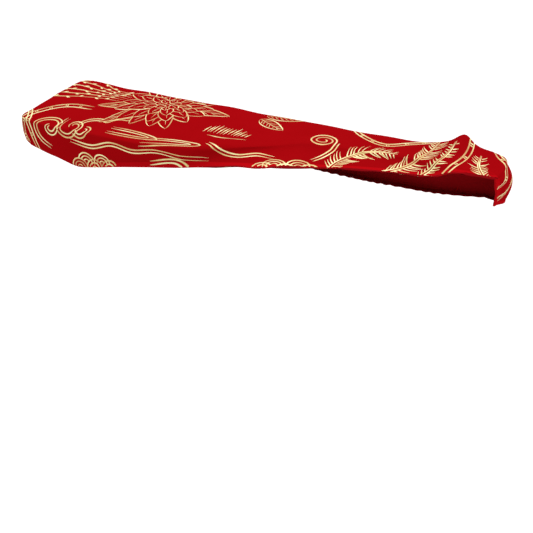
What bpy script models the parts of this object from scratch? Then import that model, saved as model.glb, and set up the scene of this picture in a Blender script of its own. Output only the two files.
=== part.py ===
"""Fitted piano keyboard cover: one thin stretch cloth with an elastic hem, open below.

+X runs along the cover, +Y to its rear and +Z up. The origin is under the flat rear half of the top,
midway along it. The front hem is drawn up and back at the right, so the cover opens there.
"""

import math

import bpy
import numpy as np

# Driving dimensions. Tables and sizes are in millimetres, and MM turns them into metres.
MM = 0.001
CLOTH = 2.0
LEFT_X = -640.0
RIGHT_X = 630.0
FOLD_ROUND = 9.0
TURN_ROUND = 9.0
TUCK_RISE = 0.12
LONG_STATIONS = 38
END_STEPS = 2

# Rows of points across the cloth, from the middle of the top out to the hem.
TOP_ROWS = 4
FOLD_ROWS = 4
WALL_ROWS = 4
TURN_ROWS = 3
TUCK_ROWS = 1

# The peak that the cloth makes over the rear edge, with a crest that runs forward from it and dies out.
PEAK_HEIGHT = 44.0
PEAK_X = 556.0
PEAK_Y = 61.0
CREST_END_X = 522.0
CREST_END_Y = -95.0
CREST_WIDTH = 24.0
SLOPE_WIDTH = 82.0
PEAK_FADE = 110.0


def table(columns, rows):
    """Give a table as one array for each named column."""
    return {name: np.array(values, float) for name, values in zip(columns.split(), zip(*rows))}


# The middle line of the top: flat ground for the cloth behind it, sloping ground in front of it.
SPINE = table("x y z", [
    (-560, -61, 2),
    (0, -61, 2),
    (110, -56, 3),
    (200, -28, 3),
    (350, 0, 2),
    (600, 0, 2),
])

# Sections along the front, from the left end to the right: where the top folds over, where the cloth
# ends or turns under, how far it swells between them, and how much is tucked under.
FRONT = table("x fold_y fold_z low_y low_z swell tuck", [
    (-640, -238, -30, -238, -111, 3, 26),
    (-552, -238, -33, -238, -129, 3, 36),
    (-469, -238, -31, -238, -144, 2, 26),
    (-400, -238, -28, -238, -130, 0, 10),
    (-204, -238, -22, -239, -87, -3, 8),
    (-89, -230, -8, -239, -63, -5, 8),
    (14, -194, 2, -239, -41, -10, 8),
    (106, -144, 6, -232, -23, -20, 8),
    (197, -71, 4, -190, -21, -20, 8),
    (348, -42, 2, -123, -21, -14, 8),
    (474, -36, 3, -95, -18, -10, 8),
    (523, -52, 4, -90, -15, -2, 8),
    (570, -54, 6, -78, 0, 2, 6),
    (630, -47, 5, -66, 1, 1, 6),
])

# Sections along the rear, where the whole skirt hangs.
REAR = table("x fold_y fold_z low_y low_z swell tuck", [
    (-640, 63, 8, 64, -100, 3, 25),
    (-500, 64, 4, 68, -118, 3, 35),
    (0, 64, 5, 70, -124, 4, 34),
    (400, 64, 5, 74, -126, 6, 32),
    (560, 63, 5, 90, -122, 12, 28),
    (630, 62, 8, 98, -116, 18, 24),
])

# Sections round the right end, from the front to the rear. The side skirt is cut off by the drawn-back
# hem in front, and hangs slack at the rear corner. Facing is the way the wall looks, in degrees from +X.
RIGHT_END = table("facing fold_x fold_y fold_z low_x low_y low_z swell tuck", [
    (-45, 658, -42, 3, 660, -57, -2, 1, 6),
    (0, 666, -26, 3, 666, -26, -36, 4, 6),
    (0, 669, 10, 5, 667, 11, -68, 12, 6),
    (20, 667, 40, 7, 666, 54, -122, 20, 8),
    (45, 656, 57, 7, 683, 82, -119, 22, 15),
])

# Sections round the left end, from the rear to the front.
LEFT_END = table("facing fold_x fold_y fold_z low_x low_y low_z swell tuck", [
    (135, -662, 55, 9, -661, 55, -97, 3, 24),
    (180, -670, 32, 10, -670, 32, -95, 3, 26),
    (180, -671, -68, 0, -671, -68, -95, 3, 36),
    (180, -672, -208, -23, -671, -208, -95, 3, 26),
    (225, -663, -230, -26, -663, -230, -102, 3, 24),
])

CLOTH_RED = (0.42, 0.002, 0.006, 1.0)
CLOTH_ROUGHNESS = 0.62


def smooth(at, known, values):
    """Read a column at new places, on a curve that passes through its rows without overshooting."""
    step = np.diff(known)
    rise = np.diff(values) / step
    slope = np.zeros(len(known))
    slope[0], slope[-1] = rise[0], rise[-1]
    same_way = rise[:-1] * rise[1:] > 0
    weight_a = 2 * step[1:] + step[:-1]
    weight_b = step[1:] + 2 * step[:-1]
    inner = np.zeros(len(known) - 2)
    inner[same_way] = ((weight_a + weight_b)[same_way]
                       / (weight_a[same_way] / rise[:-1][same_way] + weight_b[same_way] / rise[1:][same_way]))
    slope[1:-1] = inner
    cell = np.clip(np.searchsorted(known, at) - 1, 0, len(step) - 1)
    width = step[cell]
    part = np.clip((at - known[cell]) / width, 0, 1)
    return ((1 + 2 * part) * (1 - part) ** 2 * values[cell] + part * (1 - part) ** 2 * width * slope[cell]
            + part ** 2 * (3 - 2 * part) * values[cell + 1] + part ** 2 * (part - 1) * width * slope[cell + 1])


def long_side(side, facing, places):
    """Give the sections of the front or the rear at places along the cover."""
    read = {name: smooth(places, side["x"], side[name]) for name in side}
    return [dict(facing=facing, fold=(x, read["fold_y"][i], read["fold_z"][i]),
                 low=(x, read["low_y"][i], read["low_z"][i]), swell=read["swell"][i], tuck=read["tuck"][i])
            for i, x in enumerate(places)]


def end_side(side, before, after):
    """Give the sections of an end, between the last section before it and the first one after it."""
    def column(name, first, last):
        return np.concatenate([[first], side[name], [last]])

    def flat(section):
        return dict(facing=section["facing"], fold_x=section["fold"][0], fold_y=section["fold"][1],
                    fold_z=section["fold"][2], low_x=section["low"][0], low_y=section["low"][1],
                    low_z=section["low"][2], swell=section["swell"], tuck=section["tuck"])

    first, last = flat(before), flat(after)
    known = np.arange(len(side["facing"]) + 2.0)
    places = np.arange(1, END_STEPS * (len(known) - 1)) / END_STEPS
    read = {name: smooth(places, known, column(name, first[name], last[name])) for name in side}
    return [dict(facing=read["facing"][i], fold=(read["fold_x"][i], read["fold_y"][i], read["fold_z"][i]),
                 low=(read["low_x"][i], read["low_y"][i], read["low_z"][i]),
                 swell=read["swell"][i], tuck=read["tuck"][i])
            for i in range(len(places))]


def peak(x, y):
    """Give the height that the peak and its crest add at a place on the top."""
    along = min(max((y - CREST_END_Y) / (PEAK_Y - CREST_END_Y), 0.0), 1.0)
    middle = CREST_END_X + (PEAK_X - CREST_END_X) * along
    crest = math.exp(-((x - middle) / CREST_WIDTH) ** 2)
    slopes = math.exp(-((x - middle) / SLOPE_WIDTH) ** 2)
    return PEAK_HEIGHT * along ** 1.3 * 0.5 * (crest + slopes)


def rounded(before, corner, after, reach, count):
    """Give points that round off a corner, from one side of it to the other."""
    toward = before - corner
    away = after - corner
    start = corner + toward / np.linalg.norm(toward) * min(reach, 0.45 * np.linalg.norm(toward))
    end = corner + away / np.linalg.norm(away) * min(reach, 0.45 * np.linalg.norm(away))
    parts = np.linspace(0, 1, count + 1)
    return [start * (1 - k) ** 2 + corner * 2 * k * (1 - k) + end * k ** 2 for k in parts]


def across(section, middle):
    """Give the row of points of one section, from the middle of the top out to the hem."""
    angle = math.radians(section["facing"])
    outward = np.array([math.cos(angle), math.sin(angle), 0.0])
    fold = np.array(section["fold"])
    low = np.array(section["low"])
    tuck_end = low - outward * section["tuck"] + np.array([0, 0, TUCK_RISE * section["tuck"]])
    bend = rounded(middle, fold, low, FOLD_ROUND, FOLD_ROWS)
    turn = rounded(fold, low, tuck_end, TURN_ROUND, TURN_ROWS)
    top = [middle + (bend[0] - middle) * k / TOP_ROWS for k in range(1, TOP_ROWS)]
    wall = []
    for k in range(1, WALL_ROWS):
        part = k / WALL_ROWS
        wall.append(bend[-1] + (turn[0] - bend[-1]) * part + outward * section["swell"] * math.sin(math.pi * part))
    tuck = [turn[-1] + (tuck_end - turn[-1]) * k / TUCK_ROWS for k in range(1, TUCK_ROWS + 1)]
    points = top + bend + wall + turn + tuck
    down = 0.0
    lifted = []
    for number, point in enumerate(points):
        if number >= len(top) + FOLD_ROWS // 2:
            down += np.linalg.norm(point - points[number - 1])
        fade = max(0.0, 1 - down / PEAK_FADE) ** 2
        lifted.append(point + np.array([0, 0, peak(point[0], point[1]) * fade]))
    return lifted


def cover_mesh():
    """Build the outer face of the cloth as rows of points round the middle line of its top."""
    places = np.linspace(LEFT_X, RIGHT_X, LONG_STATIONS)
    front = long_side(FRONT, -90, places)
    rear = long_side(REAR, 90, places)
    right = end_side(RIGHT_END, front[-1], rear[-1])
    front_again = dict(front[0], facing=270)
    left = end_side(LEFT_END, rear[0], front_again)
    sections = front + right + rear[::-1] + left

    spine_x = np.unique(np.clip(places, SPINE["x"][0], SPINE["x"][-1]))
    spine = [np.array([x, smooth(np.array([x]), SPINE["x"], SPINE["y"])[0],
                       smooth(np.array([x]), SPINE["x"], SPINE["z"])[0]]) for x in spine_x]
    front_ids = [int(np.argmin(abs(spine_x - np.clip(x, spine_x[0], spine_x[-1])))) for x in places]
    spine_ids = front_ids + [len(spine) - 1] * len(right) + front_ids[::-1] + [0] * len(left)

    points = [middle + np.array([0, 0, peak(middle[0], middle[1])]) for middle in spine]
    rows = []
    for section, spine_id in zip(sections, spine_ids):
        row = across(section, spine[spine_id])
        rows.append(range(len(points), len(points) + len(row)))
        points += row

    faces = []
    for here, row in enumerate(rows):
        beside = (here + 1) % len(rows)
        next_row = rows[beside]
        if spine_ids[here] == spine_ids[beside]:
            faces.append((spine_ids[here], row[0], next_row[0]))
        else:
            faces.append((spine_ids[here], row[0], next_row[0], spine_ids[beside]))
        for k in range(len(row) - 1):
            faces.append((row[k], row[k + 1], next_row[k + 1], next_row[k]))

    mesh = bpy.data.meshes.new("cover")
    mesh.from_pydata([tuple(point * MM) for point in points], [], faces)
    mesh.shade_smooth()
    return mesh


def cloth_material():
    """Give the cloth its plain red."""
    material = bpy.data.materials.new("red_stretch_cloth")
    material.use_nodes = True
    shader = material.node_tree.nodes["Principled BSDF"]
    shader.inputs["Base Color"].default_value = CLOTH_RED
    shader.inputs["Roughness"].default_value = CLOTH_ROUGHNESS
    material.diffuse_color = CLOTH_RED
    return material


def main():
    for thing in list(bpy.data.objects):
        bpy.data.objects.remove(thing, do_unlink=True)
    cover = bpy.data.objects.new("cover", cover_mesh())
    cover.data.materials.append(cloth_material())
    bpy.context.scene.collection.objects.link(cover)
    thickness = cover.modifiers.new("cloth thickness", "SOLIDIFY")
    thickness.thickness = CLOTH * MM
    thickness.offset = -1.0
    thickness.use_even_offset = False
    thickness.use_rim = True


main()
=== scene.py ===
# %% [markdown]
# A fitted keyboard cover in red stretch knit, printed with gold line art. The real one is a single piece
# of cloth: a rounded rectangle, closed at its corners, with an elastic turned into its hem. This lesson
# builds that cloth at its real size. First come the fixed frame and the camera, then the surface, then
# the drawing of the print, and last the dye, the ink, the light and the floor.

# %% load the fixed frame
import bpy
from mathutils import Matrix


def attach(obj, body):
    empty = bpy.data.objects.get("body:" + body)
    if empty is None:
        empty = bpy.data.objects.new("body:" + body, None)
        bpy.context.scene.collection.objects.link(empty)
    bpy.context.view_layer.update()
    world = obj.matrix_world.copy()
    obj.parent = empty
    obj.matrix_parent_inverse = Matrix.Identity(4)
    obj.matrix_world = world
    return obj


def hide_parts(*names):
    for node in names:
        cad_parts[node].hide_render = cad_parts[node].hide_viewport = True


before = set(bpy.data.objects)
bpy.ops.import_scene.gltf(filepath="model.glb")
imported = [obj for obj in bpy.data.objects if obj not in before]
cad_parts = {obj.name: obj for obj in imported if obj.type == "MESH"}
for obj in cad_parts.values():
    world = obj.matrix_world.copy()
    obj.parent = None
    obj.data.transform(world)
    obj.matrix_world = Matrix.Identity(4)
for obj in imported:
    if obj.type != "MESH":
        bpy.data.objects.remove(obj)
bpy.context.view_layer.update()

# %% [markdown]
# Cloth could be modelled by hand in the viewport. Here it is worked out from measures, so most of the
# work is sums on thousands of points. NumPy does them for a whole table at once. Blender's geometry
# module cuts the flat cloth, and its BVH tree finds the triangle under a point. Lengths are in
# millimetres until the mesh is made.

# %% the modules that do the work
import math
import random

import bpy
import numpy as np
from mathutils import Vector, geometry
from mathutils.bvhtree import BVHTree

MM = 0.001
scene = bpy.context.scene
scene.view_settings.view_transform = "Standard"
print("Blender", bpy.app.version_string)

# %% [markdown]
# The camera comes first, because every later choice is judged through it. It stands in front of the
# drawn-back right end, a little above the cloth, and looks across to the left. Its place and lens were
# worked out from the real size of what shows, so nothing is cropped or shifted.

# %% camera
CAMERA_PLACE = (0.799, -1.396, 0.592)
CAMERA_TURN = 28.6
CAMERA_DIP = 33.77
CAMERA_LENS = 40.55
SENSOR = 36.0

camera = bpy.data.objects.new("camera", bpy.data.cameras.new("camera"))
camera.data.lens = CAMERA_LENS
camera.data.sensor_width = SENSOR
camera.location = CAMERA_PLACE
camera.rotation_euler = (math.radians(90 - CAMERA_DIP), 0, math.radians(CAMERA_TURN))
scene.collection.objects.link(camera)
scene.camera = camera
print("camera looks down", CAMERA_DIP, "degrees")

# %% [markdown]
# The cloth takes its form from a few cross-sections. Each one says where the top folds over the edge,
# where the cloth ends or turns under, how far it swells in between, and how much is tucked under. Where
# the swell is negative, the cloth is hollow there. These tables are in millimetres. A smooth curve
# through each column gives every section in between, which is how a pattern cutter grades between known
# measures. A sculpted mesh would look alike but could not be kept true to its measures.

# %% the section tables
LEFT_X = -640.0
RIGHT_X = 630.0


def table(columns, rows):
    """Give a table as one array for each named column."""
    return {name: np.array(values, float) for name, values in zip(columns.split(), zip(*rows))}


SPINE = table("x y z", [
    (-560, -61, 2), (0, -61, 2), (110, -56, 3), (200, -28, 3), (350, 0, 2), (600, 0, 2),
])
FRONT = table("x fold_y fold_z low_y low_z swell tuck", [
    (-640, -238, -30, -238, -111, 3, 26),
    (-552, -238, -33, -238, -129, 3, 36),
    (-469, -238, -31, -238, -144, 2, 26),
    (-400, -238, -28, -238, -130, 0, 10),
    (-204, -238, -22, -239, -87, -3, 8),
    (-89, -230, -8, -239, -63, -5, 8),
    (14, -194, 2, -239, -41, -10, 8),
    (106, -144, 6, -232, -23, -20, 8),
    (197, -71, 4, -190, -21, -20, 8),
    (348, -42, 2, -123, -21, -14, 8),
    (474, -36, 3, -95, -18, -10, 8),
    (523, -52, 4, -90, -15, -2, 8),
    (570, -54, 6, -78, 0, 2, 6),
    (630, -47, 5, -66, 1, 1, 6),
])
REAR = table("x fold_y fold_z low_y low_z swell tuck", [
    (-640, 63, 8, 64, -100, 3, 25),
    (-500, 64, 4, 68, -118, 3, 35),
    (0, 64, 5, 70, -124, 4, 34),
    (400, 64, 5, 74, -126, 6, 32),
    (560, 63, 5, 90, -122, 12, 28),
    (630, 62, 8, 98, -116, 18, 24),
])
RIGHT_END = table("facing fold_x fold_y fold_z low_x low_y low_z swell tuck", [
    (-45, 658, -42, 3, 660, -57, -2, 1, 6),
    (0, 666, -26, 3, 666, -26, -36, 4, 6),
    (0, 669, 10, 5, 667, 11, -68, 12, 6),
    (20, 667, 40, 7, 666, 54, -122, 20, 8),
    (45, 656, 57, 7, 683, 82, -119, 22, 15),
])
LEFT_END = table("facing fold_x fold_y fold_z low_x low_y low_z swell tuck", [
    (135, -662, 55, 9, -661, 55, -97, 3, 24),
    (180, -670, 32, 10, -670, 32, -95, 3, 26),
    (180, -671, -68, 0, -671, -68, -95, 3, 36),
    (180, -672, -208, -23, -671, -208, -95, 3, 26),
    (225, -663, -230, -26, -663, -230, -102, 3, 24),
])
print("sections: front", len(FRONT["x"]), " rear", len(REAR["x"]),
      " ends", len(RIGHT_END["facing"]), len(LEFT_END["facing"]))

# %% [markdown]
# A table gives the sections only at a few places, and the form needs one every few millimetres. An
# ordinary curve through the rows overshoots, which would put waves in the cloth where the real one lies
# straight. This one keeps to the rise and fall of its column, so a straight hem stays straight.

# %% curve through a column
def cubic(part, width, start, end, start_slope, end_slope):
    """Read the curve between two values with known slopes, at a part of the width between them."""
    return ((1 + 2 * part) * (1 - part) ** 2 * start + part * (1 - part) ** 2 * width * start_slope
            + part ** 2 * (3 - 2 * part) * end + part ** 2 * (part - 1) * width * end_slope)


def smooth(at, known, values):
    """Read a column at new places, on a curve that passes through its rows without overshooting."""
    step = np.diff(known)
    rise = np.diff(values) / step
    same_way = rise[:-1] * rise[1:] > 0
    before, after = rise[:-1][same_way], rise[1:][same_way]
    weight_a = (2 * step[1:] + step[:-1])[same_way]
    weight_b = (step[1:] + 2 * step[:-1])[same_way]
    inner = np.zeros(len(known) - 2)
    inner[same_way] = (weight_a + weight_b) / (weight_a / before + weight_b / after)
    slope = np.concatenate([rise[:1], inner, rise[-1:]])
    cell = np.clip(np.searchsorted(known, at) - 1, 0, len(step) - 1)
    part = np.clip((at - known[cell]) / step[cell], 0, 1)
    return cubic(part, step[cell], values[cell], values[cell + 1], slope[cell], slope[cell + 1])


print("the middle of the top is", float(smooth(0.0, SPINE["x"], SPINE["z"])), "mm above the frame's origin")

# %% [markdown]
# Along the front and the rear a section stands at every 5 mm. At an end the sections follow the corner
# instead, from the last section of one side to the first of the other, and they stand closer there, so
# that its curve stays round.

# %% sections of a side and of an end
STATION = 5.0
CORNER_STATIONS = 7


def put_together(read, facing):
    """Give sections from the columns read for them, with each fold and each low edge as a point."""
    return dict(facing=facing, swell=read["swell"], tuck=read["tuck"],
                fold=np.stack([read["fold_" + axis] for axis in "xyz"], 1),
                low=np.stack([read["low_" + axis] for axis in "xyz"], 1))


def sections_along(side, facing, places):
    """Give the sections of the front or the rear at places along the cover."""
    read = {name: smooth(places, side["x"], side[name]) for name in side}
    read["fold_x"] = read["low_x"] = places
    return put_together(read, np.full(len(places), float(facing)))


def sections_round(side, before, after):
    """Give the sections of an end, between the section before it and the one after it."""
    def column(name):
        """Give a column with the two neighbouring sections at its ends."""
        key, _, axis = name.partition("_")
        ends = [section[key]["xyz".index(axis)] if axis else section[key] for section in (before, after)]
        return np.concatenate([ends[:1], side[name], ends[1:]])

    columns = {name: column(name) for name in side}
    gaps = np.hypot(np.diff(columns["fold_x"]), np.diff(columns["fold_y"]))
    counts = np.maximum(CORNER_STATIONS, np.round(gaps / STATION)).astype(int)
    places = np.concatenate([k + np.arange(count) / count for k, count in enumerate(counts)])[1:]
    read = {name: smooth(places, np.arange(len(gaps) + 1.0), columns[name]) for name in columns}
    return put_together(read, read["facing"])


print("sections every", STATION, "mm, and at least", CORNER_STATIONS, "between two rows of a corner")

# %% [markdown]
# The sections now run round the cover in one ring: along the front, round the right end, back along the
# rear and round the left end. Their facing turns once round on the way, so the last one meets the first.

# %% ring of sections
def one(sections, index, turned=0):
    """Give one section of a run, with its facing turned by whole turns where the ring closes."""
    section = {name: sections[name][index] for name in sections}
    section["facing"] += turned
    return section


along_x = np.linspace(LEFT_X, RIGHT_X, round((RIGHT_X - LEFT_X) / STATION) + 1)
front = sections_along(FRONT, -90, along_x)
rear = sections_along(REAR, 90, along_x)
right_end = sections_round(RIGHT_END, one(front, -1), one(rear, -1))
left_end = sections_round(LEFT_END, one(rear, 0), one(front, 0, turned=360))
backward = {name: rear[name][::-1] for name in rear}
runs = (front, right_end, backward, left_end)
ring = {name: np.concatenate([run[name] for run in runs]) for name in front}
STATIONS = len(ring["facing"])
print("sections round the cover:", STATIONS)

# %% [markdown]
# Cloth has no sharp fold. Where two straight parts of a section meet, a short curve takes the corner's
# place. It leaves each part where the rounding starts and never takes up more than half of a short part.
# A bevel modifier would do this on a mesh, but here the number of rows has to stay the same all round.

# %% a rounded corner
ROUND_AT_MOST = 0.45


def lengths(vectors):
    """Give the length of each vector, kept as a column."""
    return np.linalg.norm(vectors, axis=-1, keepdims=True)


def rounded(before, corner, after, reach, count):
    """Give points that round off a corner, from one side of it to the other."""
    toward, away = before - corner, after - corner
    start = corner + toward / lengths(toward) * np.minimum(reach, ROUND_AT_MOST * lengths(toward))
    end = corner + away / lengths(away) * np.minimum(reach, ROUND_AT_MOST * lengths(away))
    parts = np.linspace(0, 1, count + 1)
    return [start * (1 - k) ** 2 + corner * 2 * k * (1 - k) + end * k ** 2 for k in parts]


def between(start, end, count):
    """Give evenly spaced points after start, as far as end."""
    return [start + (end - start) * k / count for k in range(1, count + 1)]


print("a corner takes at most", ROUND_AT_MOST, "of each of its sides")

# %% [markdown]
# Each section is walked from the middle of the top out to the hem: over the top, round the fold, down the
# wall, round the turn and in along the tuck. The rows near the hem stand close together, for the elastic.

# %% rows across the cloth
FOLD_ROUND = 9.0
TURN_ROUND = 9.0
TUCK_RISE = 0.12
TOP_ROWS = 14
FOLD_ROWS = 6
WALL_ROWS = 12
TURN_ROWS = 5
CASING = 9.0
CASING_AT_MOST = 0.75
CASING_ROWS = (1.0, 0.85, 0.5, 0.15, 0.0)

turn = np.radians(ring["facing"])
outward = np.stack([np.cos(turn), np.sin(turn), np.zeros(STATIONS)], 1)
middle_x = np.clip(ring["fold"][:, 0], SPINE["x"][0], SPINE["x"][-1])
middle = np.stack([middle_x] + [smooth(middle_x, SPINE["x"], SPINE[axis]) for axis in "yz"], 1)
tuck_end = ring["low"] + (np.array([0, 0, TUCK_RISE]) - outward) * ring["tuck"][:, None]
bend = rounded(middle, ring["fold"], ring["low"], FOLD_ROUND, FOLD_ROWS)
turned_under = rounded(ring["fold"], ring["low"], tuck_end, TURN_ROUND, TURN_ROWS)
wall = [row + outward * ring["swell"][:, None] * math.sin(math.pi * k / WALL_ROWS)
        for k, row in enumerate(between(bend[-1], turned_under[0], WALL_ROWS)[:-1], 1)]
tucked = tuck_end - turned_under[-1]
casing = np.minimum(CASING, CASING_AT_MOST * lengths(tucked))
rows = [middle] + between(middle, bend[0], TOP_ROWS)[:-1] + bend + wall + turned_under
rows += [tuck_end - tucked / lengths(tucked) * casing * part for part in CASING_ROWS]
walk = np.stack(rows, 1)
print("rows across the cloth:", walk.shape[1])

# %% [markdown]
# The same walk also gives the place of each point on the cloth laid flat, which is where the print will
# be drawn. Beyond the fold the flat cloth simply runs on outward, as far as the walk is long. An unwrap
# would do the same but would not keep the lengths true.

# %% the cloth laid flat
FOLD_ROW = TOP_ROWS + FOLD_ROWS // 2
TURN_ROW = TOP_ROWS + FOLD_ROWS + WALL_ROWS
LAST_ROW = walk.shape[1] - 1

down = np.zeros(walk.shape[:2])
down[:, FOLD_ROW + 1:] = np.cumsum(lengths(np.diff(walk[:, FOLD_ROW:], axis=1))[..., 0], 1)
flat = walk[..., :2].copy()
flat[:, FOLD_ROW:] = flat[:, FOLD_ROW:FOLD_ROW + 1] + outward[:, None, :2] * down[:, FOLD_ROW:, None]
print("flat cloth", np.ptp(flat[..., 0]).round(), "x", np.ptp(flat[..., 1]).round(), "mm when stretched")

# %% [markdown]
# The rows join into one grid. Where the sections meet along the middle of the top they share their
# points, so the cloth has no slit there. Triangles are enough, because the grid is only the ground for
# the print.

# %% grid of triangles
LEVELS = LAST_ROW + 1
middle_places = np.unique(middle_x)
middle_id = np.searchsorted(middle_places, middle_x)
ids = np.empty((STATIONS, LEVELS), int)
ids[:, 0] = middle_id
ids[:, 1:] = len(middle_places) + np.arange(STATIONS * LAST_ROW).reshape(STATIONS, LAST_ROW)
first_station = np.array([int(np.argmax(middle_id == k)) for k in range(len(middle_places))])


def gathered(values):
    """Turn values for each station and row into a list with one entry for each point of the grid."""
    return np.concatenate([values[first_station, 0], values[:, 1:].reshape(-1, *values.shape[2:])])


beside = np.roll(ids, -1, axis=0)
quads = np.stack([ids[:, :-1], ids[:, 1:], beside[:, 1:], beside[:, :-1]], -1).reshape(-1, 4)
triangles = np.concatenate([quads[:, [0, 1, 2]], quads[quads[:, 0] != quads[:, 3]][:, [0, 2, 3]]])
print("grid:", ids.max() + 1, "points,", len(triangles), "triangles")

# %% [markdown]
# The forms that make it read as cloth are laid on this ground. The highest is the peak at the rear, where
# the cloth rides over something that stands up under it, with a crest that runs forward. Half of its
# height is a narrow crest and half is broad slopes. The top also has a soft ridge where flat ground gives
# way to sloping ground. Each could be sculpted by hand, but a formula keeps the same peak here as in the
# solid.

# %% peak and ridge
PEAK_HEIGHT = 44.0
PEAK_X = 556.0
PEAK_Y = 61.0
CREST_END_X = 522.0
CREST_END_Y = -95.0
CREST_WIDTH = 24.0
CREST_RISE = 1.3
SLOPE_WIDTH = 82.0
PEAK_FADE = 110.0
RIDGE_ROUND = 34.0


def peak(x, y):
    """Give the height that the peak and its crest add at places on the top."""
    along = np.clip((y - CREST_END_Y) / (PEAK_Y - CREST_END_Y), 0, 1)
    middle_line = CREST_END_X + (PEAK_X - CREST_END_X) * along
    crest = np.exp(-((x - middle_line) / CREST_WIDTH) ** 2)
    slopes = np.exp(-((x - middle_line) / SLOPE_WIDTH) ** 2)
    return PEAK_HEIGHT * along ** CREST_RISE * 0.5 * (crest + slopes)


lift = peak(walk[..., 0], walk[..., 1]) * np.maximum(0, 1 - down / PEAK_FADE) ** 2
from_ridge = lengths(walk[..., :2] - walk[:, :1, :2])[..., 0]
slope = (walk[:, TOP_ROWS, 2] - walk[:, 0, 2]) / lengths(walk[:, TOP_ROWS, :2] - walk[:, 0, :2])[:, 0]
fall = np.maximum(0, -np.interp(middle_x, along_x, slope[:len(along_x)]))
ridge = np.maximum(0, RIDGE_ROUND - from_ridge) ** 2 / (4 * RIDGE_ROUND) * fall[:, None]
shaped = walk.copy()
shaped[..., 2] += lift - ridge
print("peak rises", lift.max().round(1), "mm, ridge is taken down", ridge.max().round(2), "mm")

# %% [markdown]
# Stretch cloth lies smooth where it is pulled tight, so the relief stays low. Each part of it is a height
# along the cloth's own facing, given at each point. A slow unevenness lies over the whole cloth, and a
# few soft creases run to where the hem is drawn back. Displacement from a noise texture would be quicker
# but would put creases in the wrong places.

# %% slow waves and creases
SLOW_WAVES = ((0.9, 210, 35), (0.6, 120, 140), (0.35, 74, 80))
CREASES = table("x y to_x to_y width height", [
    (60, -246, 150, -176, 13, -1.6),
    (118, -238, 196, -150, 12, 1.5),
    (176, -212, 236, -128, 12, -1.4),
    (-30, -262, 60, -208, 14, 1.2),
    (486, -22, 530, -96, 17, -2.0),
    (600, 58, 640, -34, 20, -2.2),
    (652, 40, 700, -4, 12, 2.2),
    (672, 64, 742, 34, 10, -2.4),
    (-655, -214, -690, -262, 9, -1.4),
    (-640, 60, -690, 100, 9, -1.4),
])
CREASE_REACH = 0.42

relief = np.zeros(walk.shape[:2])
for height, length, angle in SLOW_WAVES:
    toward = math.radians(angle)
    across_wave = flat[..., 0] * math.cos(toward) + flat[..., 1] * math.sin(toward)
    relief += height * np.sin(across_wave / length * 2 * math.pi + angle)
for x, y, to_x, to_y, width, height in zip(*CREASES.values()):
    start, line = np.array([x, y]), np.array([to_x - x, to_y - y])
    part = ((flat - start) @ line) / (line @ line)
    aside = ((flat - start) @ np.array([-line[1], line[0]])) / math.hypot(*line)
    relief += height * np.exp(-(aside / width) ** 2) * np.exp(-((part - 0.5) / CREASE_REACH) ** 4)
print("waves and creases from", relief.min().round(2), "to", relief.max().round(2), "mm")

# %% [markdown]
# The elastic shortens the edge, so the tucked hem stands in small gathers. They are a wave that runs
# round the ring, and slower waves shift it and change its size, so that no two gathers are alike. They
# grow from nothing past the turn to their full height at the edge, and stay low where little cloth is
# tucked.

# %% gathers of the hem
GATHERS = 128
GATHER_HEIGHT = 1.8
GATHER_SHIFTS = ((2.2, 5, 0), (1.3, 17, 1))
GATHER_SIZES = (0.7, 0.3, 23, 2)
FULL_TUCK = 36.0
TUCK_POWER = 1.5


def ease(value, low, high):
    """Rise softly from 0 to 1 between low and high."""
    part = np.clip((value - low) / (high - low), 0, 1)
    return part * part * (3 - 2 * part)


round_ring = np.concatenate([[0], np.cumsum(lengths(np.diff(ring["fold"], axis=0))[:, 0])])
phase = round_ring / (round_ring[-1] + STATION) * 2 * math.pi
past_turn = down[:, TURN_ROW + TURN_ROWS:TURN_ROW + TURN_ROWS + 1]
pull = ease(down, past_turn, down[:, -1:]) * (ring["tuck"] / FULL_TUCK)[:, None] ** TUCK_POWER
shifted = GATHERS * phase
for reach, times, begin in GATHER_SHIFTS:
    shifted = shifted + reach * np.sin(times * phase + begin)
least, more, times, begin = GATHER_SIZES
gather = np.sin(shifted) * (least + more * np.sin(times * phase + begin))
relief += GATHER_HEIGHT * pull * gather[:, None]
print("gathers:", GATHERS, " about", round(round_ring[-1] / GATHERS, 1), "mm apart")

# %% [markdown]
# The narrow hem of the front isn't tucked. It flares a little, so it ends in a soft lip with a shallow
# hollow above it. One table says how high the lip is along the front, and another says its shape from the
# turn up.

# %% lip of the front hem
LIP = table("x height", [(-470, 0), (-340, 6), (-100, 8), (110, 8), (260, 6), (480, 4), (600, 0)])
LIP_PROFILE = table("above share", [(-14, 0), (-4, 0.4), (9, -0.6), (42, 0)])
LIP_ROW = TURN_ROW + 2

is_front = (np.arange(STATIONS) < len(along_x))[:, None]
lip_x = np.clip(ring["fold"][:, 0], LIP["x"][0], LIP["x"][-1])
lip_height = smooth(lip_x, LIP["x"], LIP["height"])[:, None]
above = np.clip(down[:, LIP_ROW:LIP_ROW + 1] - down, LIP_PROFILE["above"][0], LIP_PROFILE["above"][-1])
lip = np.where(is_front, lip_height * smooth(above, LIP_PROFILE["above"], LIP_PROFILE["share"]), 0)
print("lip from", lip.min().round(2), "to", lip.max().round(2), "mm")

# %% [markdown]
# Now the relief can be laid on. The facing of the cloth at a point is the mean of the triangles round it,
# the larger ones counting more. It is worked out twice: before the relief, to know which way a height
# goes, and after it, because the shading of the finished cloth follows it.

# %% outer face of the cloth
NO_LENGTH = 1e-9


def grid_normals(points):
    """Give the direction that the cloth faces at each point of the grid."""
    a, b, c = (points[triangles[:, k]] for k in range(3))
    facing = np.cross(b - a, c - a)
    normals = np.zeros_like(points)
    for k in range(3):
        np.add.at(normals, triangles[:, k], facing)
    return normals / np.maximum(lengths(normals), NO_LENGTH)


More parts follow.
